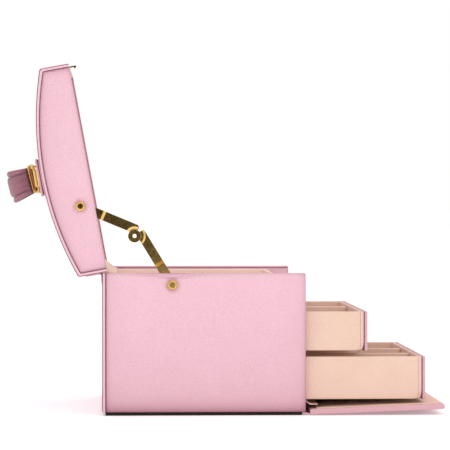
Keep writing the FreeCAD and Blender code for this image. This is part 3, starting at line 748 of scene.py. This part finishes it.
def lid_skin():
    """The arched skin with a bead along both edges, a crease inside it darkened by painted shade, and rounded
    rims.
    """
    path = eased(lid_outline(SKIN_T), 1.2)
    length = sum(math.dist(a, b) for a, b in zip(path, path[1:]))

    def profile(u, s):
        edge = (1 - abs(u)) * HALF_W
        bead = 0.45 * bell(edge - 1.4, 0.9) - 0.28 * bell(edge - 4.0, 0.9)
        uneven = 0.14 * noise.noise(Vector((u * 4.2, s * 6.5, 2.0)))
        return bead + uneven - edge_dip(min(s, 1 - s) * length, 1.2)

    # Painted shade along the crease inside the bead.
    def shade(x, y, z):
        return 0.5 * bell(HALF_W - abs(x) - 4.0, 0.8)

    near = [0.0, 0.15, 0.45, 0.9, 1.4, 1.9, 2.6, 3.3, 4.0, 4.7, 5.6, 7.5]
    left = [-HALF_W + d for d in near]
    xs = left + span(left[-1], -left[-1], 28)[1:-1] + [-x for x in reversed(left)]
    verts, faces = swept_band(path, HALF_W, SKIN_T, 1.1, profile, xs=xs)
    piece("lid_skin_leather", verts, faces, PINK, "lid", "lid_skin", "pink_leather", OPEN_LID, shade)


def cheek(side, sign):
    """A padded end of the lid, dimpled round the stay's rivet on the left."""
    high = CROWN_H - SKIN_T
    xs = sorted((sign * SIDE_OUT, sign * SIDE_IN))

    def shape(p):
        x, y, z = p
        t = (z - RIM) / high
        h = arch_height(y, SKIN_T)
        swell = -0.5 * fade(min(y - IN_FRONT, IN_REAR - y, z - RIM, (1 - t) * h), 7.0)
        z = RIM + t * h
        if sign < 0:
            swell -= 1.1 * dimple(y, z, STAY_LID, 11.0)
        x += sign * outer_side(x) * (swell + 0.14 * crease(y, z, 5.0 + sign))
        return [x, y, z]

    # Painted shade: darker at the edges, along the rim and in a ring round the washer on the left.
    def shade(x, y, z):
        edge = min(y - IN_FRONT, IN_REAR - y, arch_height(y, SKIN_T) - (z - RIM))
        value = 0.5 * fade(edge, 1.8) + 0.16 * fade(edge, 9.0) + 0.55 * fade(z - RIM, 0.9)
        return value + (washer_shade(y, z, STAY_LID) if sign < 0 else 0.0)

    board(f"lid_cheek_{side}_leather", (xs[0], IN_FRONT, RIM), (xs[1], IN_REAR, RIM + high), PINK, "lid",
          f"lid_cheek_{side}", radius=1.6, spacing=2.6, shape=shape, place=OPEN_LID, shade=shade)


def lid_board(name, lo, hi, material=CREAM, node=(), slot="suede", radius=0.3, spacing=20, shape=None):
    return board(name, lo, hi, material, "lid", node, slot, radius, spacing, shape, OPEN_LID)


def lining_puff(p):
    """The suede over the mirror board swells between the mirror's frame and the walls."""
    x, y, z = p
    if z < BOARD_Z + 0.5 and max(abs(x) - 97.0, abs(y - MID_Y) - 71.0) > 0:
        edge = min(SIDE_IN - abs(x), y - IN_FRONT, IN_REAR - y)
        z -= 0.9 * max(0.0, math.sin(math.pi * min(1.0, max(0.0, edge) / 20.0)))
    return [x, y, z]


lid_skin()
for side, sign in SIDES:
    cheek(side, sign)

# painted shadow: a dark cord in the seam between each cheek and the skin's bead, and a dark cord along the
# skin's outer edge
for side, sign in SIDES:
    cord(f"lid_seam_shadow_{side}", [(sign * (SIDE_OUT + 0.05), y, z) for y, z in lid_outline(SKIN_T - 0.1)], 0.5,
         GROOVE_SHADE, "lid", place=OPEN_LID)
    cord(f"lid_piping_{side}", [(sign * (HALF_W - 0.3), y, z) for y, z in lid_outline(0.35)], 0.32,
         GROOVE_SHADE, "lid", place=OPEN_LID)

lid_board("lid_lining_board", (-SIDE_IN + 0.1, IN_FRONT + 0.1, BOARD_Z),
          (SIDE_IN - 0.1, IN_REAR - 0.1, BOARD_Z + 2), node="lid_mirror_board", radius=0.8, spacing=5.0,
          shape=lining_puff)
pane = lid_board("mirror_pane", (-92, MID_Y - 66, BOARD_Z - 1.5), (92, MID_Y + 66, BOARD_Z), MIRROR, "mirror",
                 "mirror_glass", 0.5, 30)
pane.data.polygons.foreach_set("use_smooth", [p.area < 2 * MM * MM for p in pane.data.polygons])
bevelled("mirror_frame", 0.5, "lid")
for side, sign in SIDES:
    xs = sorted((sign * (SIDE_IN - 0.05), sign * (SIDE_IN - 0.75)))
    # A dark cord of painted shadow along the inside just above the rim.
    cord(f"lid_rim_shadow_{side}",
         [(sign * (SIDE_IN - 0.1), y, RIM + 1.2) for y in span(IN_FRONT + 1, IN_REAR - 1, 24)], 0.55,
         GROOVE_SHADE, "lid", place=OPEN_LID)
    lid_board(f"lid_cheek_edge_{side}", (xs[0], IN_FRONT + 0.8, RIM + 1.2), (xs[1], IN_REAR - 0.8, RIM + 6.0),
              ROSE, slot="pink_leather")
    lid_board(f"lid_cheek_lining_{side}", (xs[0], IN_FRONT + 0.8, RIM + 5.8),
              (xs[1], IN_REAR - 0.8, BOARD_Z + 0.2))
for name, y0 in (("front", IN_FRONT + 0.02), ("rear", IN_REAR - 0.72)):
    lid_board(f"lid_{name}_lining", (-SIDE_IN + 0.8, y0, RIM + 3.0), (SIDE_IN - 0.8, y0 + 0.7, BOARD_Z + 0.2))
bevelled("lid_catch", 0.22, "lid")


# ---- handle -------------------------------
CROWN = RIM + CROWN_H
TAB_BASE = CROWN + 0.02
TAB_TOP = TAB_BASE + 4.6
BAR_Z = TAB_TOP + 2.1  # the rings' lower bars, inside their keepers
RING_LENGTH, RING_HALF_W, RING_CORNER = 9.5, 12.5, 3.6
RING_LEAN = math.radians(62)
RING_X = TAB_AT - RING_LENGTH * math.sin(RING_LEAN)
RING_Z = BAR_Z + RING_LENGTH * math.cos(RING_LEAN)
STRAP_TOP = CROWN + 33.0
STRAP_T, STRAP_HALF_W = 4.0, 12.2
STRAP_SAG = math.tan(math.radians(5.5))
STITCH_LINE = 0.84  # share of the strap's half width
SAGGED = OPEN_LID @ turn_about((MID_Y, BAR_Z), -4.0)


def strap_line():
    """The strap's underside in (x, z): an arch that ends on the rings' upper bars."""
    rise = STRAP_TOP - STRAP_T - RING_Z
    half = RING_X - STRAP_T / 2
    radius = arc_radius(half, rise)
    return [(x, RING_Z + rise - radius + math.sqrt(max(0.0, radius ** 2 - x * x)))
            for x in span(-half, half, 56)]


def gathers(u):
    """Folds across the strap where it is drawn in to a ring, -1 to 1."""
    return math.sin(u * 13.0 + 0.6)


def strap_profile(u, s):
    """A proud padded middle band between two stitched edge bands, gathered at the rings."""
    a = abs(u)
    middle = 1.9 * max(0.0, 1 - (a / 0.62) ** 4) ** 0.5
    edge = 0.45 * max(0.0, 1 - ((a - 0.83) / 0.17) ** 2)
    valley = -0.5 * bell(a - 0.65, 0.04)
    near = min(s, 1 - s)
    fullness = min(1.0, 0.25 + near / 0.12)
    return fullness * (middle + edge + valley) + 0.5 * gathers(u) * math.exp(-near / 0.10) * (1 - a)


def strap_place(x, across, z):
    """Widens the strap from its rings to its crest and lets it lean towards the rear."""
    s = min(1.0, max(0.0, (x + RING_X) / (2 * RING_X)))
    widen = 0.90 + 0.31 * math.sin(math.pi * s) ** 0.8
    return (x, MID_Y + across * widen + STRAP_SAG * (z - RING_Z), z)


def strap_shade(x, y, z):
    """Painted shade: dark in the valleys beside the middle band, in the gathers and near the rings."""
    near = RING_X - abs(x)
    u = (y - MID_Y - STRAP_SAG * (z - RING_Z)) / STRAP_HALF_W
    folds = 0.30 * (0.5 - 0.5 * gathers(u)) * math.exp(-near / 12.0)
    return 0.5 * bell(abs(u) - 0.68, 0.06) + folds + 0.25 * math.exp(-near / 4.0)


def handle_strap():
    line = strap_line()
    verts, faces = swept_band(line, STRAP_HALF_W, STRAP_T, 1.3, strap_profile, across=64)
    verts = [strap_place(y, x, z) for x, y, z in verts]
    obj = piece("handle_strap_leather", verts, faces, MAUVE, "handle", "handle_strap", "handle_leather",
                SAGGED, strap_shade)
    # The underside gets the darker copy of the leather: painted shade.
    obj.data.materials.append(MAROON)  # the underside
    out = SAGGED.to_3x3() @ Vector((0, 0, 1))
    for polygon in obj.data.polygons:
        if polygon.normal.dot(out) < -0.35:
            polygon.material_index = 1
    for n, sign in enumerate((-1, 1), 1):
        points, normals = [], []
        for (x0, z0), (x1, z1) in zip(line, line[1:]):
            size = math.dist((x0, z0), (x1, z1))
            nx, nz = -(z1 - z0) / size, (x1 - x0) / size
            h = STRAP_T + strap_profile(STITCH_LINE, (x0 + RING_X) / (2 * RING_X)) - 0.05
            points.append(strap_place(x0 + nx * h, sign * STITCH_LINE * STRAP_HALF_W, z0 + nz * h))
            normals.append((nx, 0, nz))
        stitches(f"strap_stitches_{n}", points[3:-3], normals[3:-3], "handle", 2.2, 0.28, SAGGED,
                 "handle_leather")


def keeper(side, x0):
    """A rolled gold knuckle over the ring's lower bar, its feet under the tab's top layer."""
    roll = [math.radians(a) for a in span(200, -20, 14)]
    path = [(x0 - 3.2, TAB_TOP - 0.5), (x0 - 2.0, TAB_TOP + 0.1),
            *((x0 + 1.35 * math.cos(a), BAR_Z + 1.35 * math.sin(a)) for a in roll),
            (x0 + 2.0, TAB_TOP + 0.1), (x0 + 3.2, TAB_TOP - 0.5)]
    verts, faces = swept_band(path, 8.0, 0.7, 0.3)
    piece(f"handle_keeper_{side}", [(y, MID_Y + x, z) for x, y, z in verts], faces, GOLD, "lid",
          slot="gold", place=OPEN_LID)


def tab_layer(name, x0, inset, z0, z1, material, stands_for=(), follow=False):
    """One layer of a tab, with rounded corners; the lowest follows the lid's arch."""
    hx, hy, r = TAB_X - inset, TAB_Y - inset, 3.2 - inset

    def shape(p):
        x, y, z = p
        dx, dy = abs(x - x0) - (hx - r), abs(y - MID_Y) - (hy - r)
        if dx > 0 and dy > 0:
            scale = max(dx, dy) / math.hypot(dx, dy)
            x = x0 + math.copysign(hx - r + dx * scale, x - x0)
            y = MID_Y + math.copysign(hy - r + dy * scale, y - MID_Y)
        if follow and z < z1 - 0.5:
            z += arch_height(y, 0) - CROWN_H
        return [x, y, z]

    # Painted shade: a darker line 2.6 mm inside each layer's edge.
    def shade(x, y, z):
        return 0.35 * bell(min(hx - abs(x - x0), hy - abs(y - MID_Y)) - 2.6, 0.5)

    board(name, (x0 - hx, MID_Y - hy, z0), (x0 + hx, MID_Y + hy, z1), material, "lid", stands_for,
          radius=0.75, spacing=1.0, shape=shape, place=OPEN_LID, shade=shade)


def handle_tab(side, x0):
    name = f"handle_tab_{side}"
    tab_layer(name + "_base", x0, 0.0, TAB_BASE - 0.3, TAB_BASE + 1.65, ROSE, name, True)
    # The filler's darker leather is painted shade in the recess between the base and top layers.
    tab_layer(name + "_filler", x0, 0.9, TAB_BASE + 1.5, TAB_BASE + 3.0, MAROON)
    tab_layer(name + "_top", x0, 0.1, TAB_BASE + 2.8, TAB_TOP, ROSE)
    tx, ty = TAB_X - 1.6, TAB_Y - 1.6
    corners = [(x0 + u * tx, MID_Y + v * ty, TAB_TOP - 0.1)
               for u, v in ((-1, -1), (1, -1), (1, 1), (-1, 1), (-1, -1))]
    stitches(f"tab_stitches_{side}", corners, [(0, 0, 1)] * 4, "lid", 2.0, 0.24, OPEN_LID, "pink_leather")
    keeper(side, x0)


def squared(value, size):
    """A sine or cosine made squarer, times a size."""
    return math.copysign(abs(value) ** 0.7, value) * size


def handle_ring(side, sign):
    """A rounded rectangle of gold band, deep round its outer end and slim where its keeper holds it."""
    near, far = RING_CORNER, RING_LENGTH - RING_CORNER
    flat = RING_HALF_W - RING_CORNER
    outline = [(-flat, 0.0)]
    for cu, cv, first in ((flat, near, -90), (flat, far, 0), (-flat, far, 90), (-flat, near, 180)):
        corner_turn = [math.radians(first + 15 * n) for n in range(7)]
        outline += [(cu + RING_CORNER * math.cos(a), cv + RING_CORNER * math.sin(a)) for a in corner_turn]
    lean_x, lean_z = -sign * math.sin(RING_LEAN), math.cos(RING_LEAN)
    verts = []
    for n, (u, v) in enumerate(outline):
        (au, av), (bu, bv) = outline[n - 1], outline[(n + 1) % len(outline)]
        size = math.hypot(bu - au, bv - av) or 1.0
        out_u, out_v = (bv - av) / size, -(bu - au) / size
        deep = 1.0 + 0.7 * min(1.0, max(0.0, v / 4.0))
        for c, s in circle(16):
            thick, off = squared(c, 0.85), squared(s, deep)
            pu, pv = u + out_u * thick, v + out_v * thick
            verts.append((sign * TAB_AT + lean_x * pv + sign * lean_z * off, MID_Y + pu,
                          BAR_Z + lean_z * pv + abs(lean_x) * off))
    piece(f"handle_ring_{side}_band", verts, ring_faces(len(outline), 16, closed=True), GOLD, "handle",
          f"handle_ring_{side}", "gold", SAGGED)


handle_strap()
for side, sign in SIDES:
    handle_ring(side, sign)
    handle_tab(side, sign * TAB_AT)


# ---- stay, catch and lock: gold from the CAD, edges eased ----
for node, radius, body in (("stay_link_upper", 0.2, "stay_upper"), ("stay_link_lower", 0.2, "stay_lower"),
                           ("stay_elbow_rivet", 0.25, "stay_upper"), ("stay_elbow_cap", 0.25, "stay_lower"),
                           ("lock_case", 0.5, "flap")):
    bevelled(node, radius, body)
for node in ("stay_washer_lid", "stay_washer_body", "catch_screws", "lock_screws", "lock_cylinder"):
    nodes[node].data.materials.clear()
    nodes[node].data.materials.append(GOLD)


def joggle(name, start, side, strip_x, eye_x, body):
    """The pressed step where a link's strip drops to its eye, a curved slope round the elbow."""
    reach, rise = math.sqrt(LINK_LENGTH ** 2 - ELBOW_OFFSET ** 2), ELBOW_OFFSET * side
    turn = math.atan2(ELBOW[1] - start[1], ELBOW[0] - start[0]) - math.atan2(rise, reach)
    inner, outer = (6.3, 8.5) if strip_x < eye_x else (8.0, 9.9)
    section = [(outer, strip_x - 0.06), (inner, eye_x - 0.06), (inner, eye_x + 0.3), (outer, strip_x + 0.3)]
    verts = []
    for degrees in span(166, 86, 16):
        a = math.radians(-side * degrees)
        for r, x in section:
            y, z = reach + r * math.cos(a), rise + r * math.sin(a)
            verts.append((x, start[0] + y * math.cos(turn) - z * math.sin(turn),
                          start[1] + y * math.sin(turn) + z * math.cos(turn)))
    obj = piece(name, verts, ring_faces(17, 4), GOLD, body, slot="gold")
    smooth_by_angle(obj.data, 35)


joggle("stay_joggle_upper", STAY_LID_OPEN, 1, -116.1, -115.45, "stay_upper")
joggle("stay_joggle_lower", STAY_BODY, -1, -113.5, -114.15, "stay_lower")


def rivet(place, at, body):
    """A turned rivet about an X-wise line through (y, z), domed outside and flat inside."""
    profile = [(0.05, -125.0), (1.95, -125.0), (2.0, -124.7), (2.25, -124.7), (2.3, -125.1),
               (2.6, -125.4), (3.0, -125.52), (3.5, -125.42), (3.95, -125.1), (4.25, -124.6),
               (4.4, -124.0), (4.4, -122.6), (1.8, -122.6), (1.8, -115.7), (3.1, -115.7),
               (3.2, -115.5), (3.2, -115.1), (3.0, -114.95), (0.05, -114.95)]
    verts = [(x, at[0] + r * c, at[1] + r * s) for r, x in profile for c, s in circle(36)]
    obj = piece(f"stay_rivet_{place}_turned", verts, ring_faces(len(profile), 36), GOLD, body,
                f"stay_rivet_{place}", "gold")
    smooth_by_angle(obj.data, 26)


rivet("lid", STAY_LID_OPEN, "lid")
rivet("body", STAY_BODY, "chest")


# ---- flap, drawn shut and swung down ------
def flap_shape(p):
    x, y, z = p
    if y < FLAP_OUT + 2:
        y += 0.35 * fade(min(HALF_W - abs(x), z - FLAP_Z0, FLAP_Z1 - z), 6.0) + 0.1 * crease(x, z, 12.0)
    return [x, y, z]


def flap_pad_shape(p):
    x, y, z = p
    if y > FLAP_FACE + 0.3:
        edge = min(HALF_W - FLAP_INSET - abs(x), z - FLAP_Z0 - 6, FLAP_Z1 - FLAP_INSET - z)
        y += 0.15 - 0.35 * fade(edge, 8.0) + 0.1 * crease(x, z, 20.0, 26.0)
    return [x, y, z]


board("flap_leather", (-HALF_W, FLAP_OUT, FLAP_Z0), (HALF_W, FLAP_FACE, FLAP_Z1), ROSE, "flap",
      "flap_board", radius=1.7, spacing=5.0, shape=flap_shape, place=OPEN_FLAP)
board("flap_suede_pad", (-HALF_W + FLAP_INSET, FLAP_FACE - 0.2, FLAP_Z0 + 6),
      (HALF_W - FLAP_INSET, FLAP_FACE + 0.8, FLAP_Z1 - FLAP_INSET), CREAM, "flap", "flap_lining", "suede",
      0.45, 5.0, flap_pad_shape, OPEN_FLAP)


# ---- soft hinges --------------------------
LID_BEND = ((0, 80.5, 126.0), (0, 87.4, 138.6))


def smooth_path(points, steps=8):
    """A Catmull-Rom line through (y, z) points."""
    pts = [Vector(p) for p in (points[0], *points, points[-1])]
    out = []
    for a, b, c, d in zip(pts, pts[1:], pts[2:], pts[3:]):
        for k in range(steps):
            t = k / steps
            out.append(tuple(0.5 * (2 * b + (c - a) * t + (2 * a - 5 * b + 4 * c - d) * t * t
                                    + (3 * b - 3 * c + d - a) * t ** 3)))
    return out + [tuple(pts[-1])]


def bend(obj, body, start, end):
    """Bakes a piece's placement into its mesh; it does not bend the piece. Its body, start and end are not
    used.
    """
    [c * MM for c in start]
    [c * MM for c in end]
    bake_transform(obj)


def soft_hinge(name, points, half_w, material, node, slot, body, start, end, ripple=0.0):
    def profile(u, s):
        return ripple * noise.noise(Vector((u * 9, s * 3, 4.0))) * math.sin(math.pi * s)

    verts, faces = swept_band(smooth_path(points), half_w, 0.8, 0.3, profile, across=60)
    bend(piece(name, verts, faces, material, None, node, slot), body, start, end)


def hinge_web(side, sign):
    """The soft suede web that closes the hinge's end between the lid and the body."""
    across = 6
    curve = smooth_path([(92.0, 135.6), (88.8, 133.2), (85.6, 130.2), (82.6, 127.8), (79.4, 125.6),
                         (76.8, 124.2)], 4)
    hub = (90.6, 124.6)
    verts, faces = [], []
    for layer in (0, 1):
        for n, (y, z) in enumerate(curve):
            for t in span(0, 1, across):
                bulge = 0.9 * math.sin(math.pi * t) * math.sin(math.pi * n / (len(curve) - 1))
                out = 0.04 + 0.96 * t
                verts.append((sign * (SIDE_IN - 1.0 + 0.55 * layer + bulge), hub[0] + (y - hub[0]) * out,
                              hub[1] + (z - hub[1]) * out))
    row, sheet = across + 1, (across + 1) * len(curve)
    for n in range(len(curve) - 1):
        for k in range(across):
            a = n * row + k
            faces.append((a, a + 1, a + row + 1, a + row))
            faces.append((a + sheet, a + sheet + 1, a + sheet + row + 1, a + sheet + row))
        for a in (n * row, n * row + across):
            faces.append((a, a + row, a + row + sheet, a + sheet))
    for first in (0, (len(curve) - 1) * row):
        for a in range(first, first + across):
            faces.append((a, a + 1, a + 1 + sheet, a + sheet))
    bend(piece(f"lid_hinge_web_{side}", verts, faces, CREAM, None, slot="suede"), "lid", *LID_BEND)


soft_hinge("lid_hinge_spine", [(104.5, 123.35), (99, 124.35), (95, 125.05), (92.2, 125.45), (90.9, 124.9),
                               (90.35, 123.4), (90.2, 119), (89.0, 113)],
           HALF_W - 0.6, PINK, "lid_hinge_leather", "pink_leather", "lid",
           (0, 90.4, 124.9), (0, 95.5, 124.9))
soft_hinge("lid_hinge_gusset", [(105.6, 137.0), (98, 136.4), (92.4, 135.2), (88.8, 132.8), (85.6, 129.9),
                                (82.6, 127.5), (79.4, 125.4), (76.6, 123.9)],
           SIDE_IN - 1.0, CREAM, "lid_hinge_suede", "suede", "lid", *LID_BEND, ripple=0.5)
for side, sign in SIDES:
    hinge_web(side, sign)
soft_hinge("flap_hinge_strip", [(-100.0, 0.55), (-96.5, 0.6), (-93.8, 0.7), (-91.6, 1.0), (-89.4, 1.6),
                                (-87.2, 1.9)],
           HALF_W - 3.0, PINK, "flap_hinge_leather", "pink_leather", "flap",
           (0, -90.5, 1.5), (0, -94.5, 1.5))
soft_hinge("flap_hinge_gusset", [(-89.4, 12.9), (-91.2, 12.2), (-93.0, 10.6), (-95.6, 9.7), (-98.6, 9.65),
                                 (-101.0, 9.7)],
           SIDE_IN - 1.0, CREAM, "flap_hinge_suede", "suede", "flap",
           (0, -91.5, 9.0), (0, -96.0, 9.0), 0.3)


# ---- camera, floor and light --------------
def look_at(obj, target):
    direction = Vector(target) - obj.location
    obj.rotation_euler = direction.to_track_quat("-Z", "Y").to_euler()


camera = linked("camera", bpy.data.cameras.new("camera"))
camera.location = (-2.505, 0.078, 0.1967)
look_at(camera, (-0.125, -0.0183, 0.1685))
camera.data.lens = 215.9
camera.data.sensor_width = 36
camera.data.clip_end = 60
bpy.context.scene.camera = camera


def studio_floor():
    """A wide pale sheet under the chest."""
    rings = [0.05, 0.5, 1.5, 3.0, 6.0, 12.0]
    verts = [(r * c / MM, r * s / MM, -0.05) for r in rings for c, s in circle(64)]
    paper = plain("pale_floor", (0.93, 0.93, 0.93), 0.9)
    glow = paper.node_tree.nodes["Principled BSDF"].inputs
    glow["Emission Color"].default_value = (1, 1, 1, 1)
    glow["Emission Strength"].default_value = 0.20
    floor = piece("studio_floor", verts, ring_faces(len(rings), 64)[:-1], paper, None)
    if floor.data.polygons[0].normal.z < 0:
        floor.data.flip_normals()


def dark_card():
    """A dark card that only reflections see, so that the gold has a studio's contrast."""
    verts = [(-2900, y, z) for y, z in ((-1300, -900), (1300, -900), (1300, 1400), (-1300, 1400))]
    paper = plain("dark_card_paper", (0.035, 0.03, 0.026), 0.9)
    card = piece("dark_card", verts, [(0, 1, 2, 3)], paper, None)
    card.visible_camera = False
    card.visible_diffuse = False
    card.visible_shadow = False


def area_light(name, place, aim_z, size, power):
    data = bpy.data.lights.new(name, "AREA")
    data.shape = "RECTANGLE"
    data.size = data.size_y = size
    data.energy = power
    obj = linked(name, data)
    obj.location = place
    look_at(obj, (0, 0, aim_z))


studio_floor()
dark_card()
area_light("key", (-1.6, -0.9, 1.7), 0.12, 1.4, 5)
area_light("fill", (-1.8, 1.6, 0.8), 0.12, 1.6, 1.5)
area_light("top", (0.1, 0.1, 2.2), 0.1, 1.8, 4)
area_light("far", (1.8, -0.8, 1.2), 0.12, 1.6, 2)
world = bpy.data.worlds.new("studio")
world.use_nodes = True
sky = world.node_tree.nodes["Background"].inputs
sky["Color"].default_value = (1, 1, 1, 1)
sky["Strength"].default_value = 1.0
bpy.context.scene.world = world
bpy.context.scene.view_settings.view_transform = "Standard"
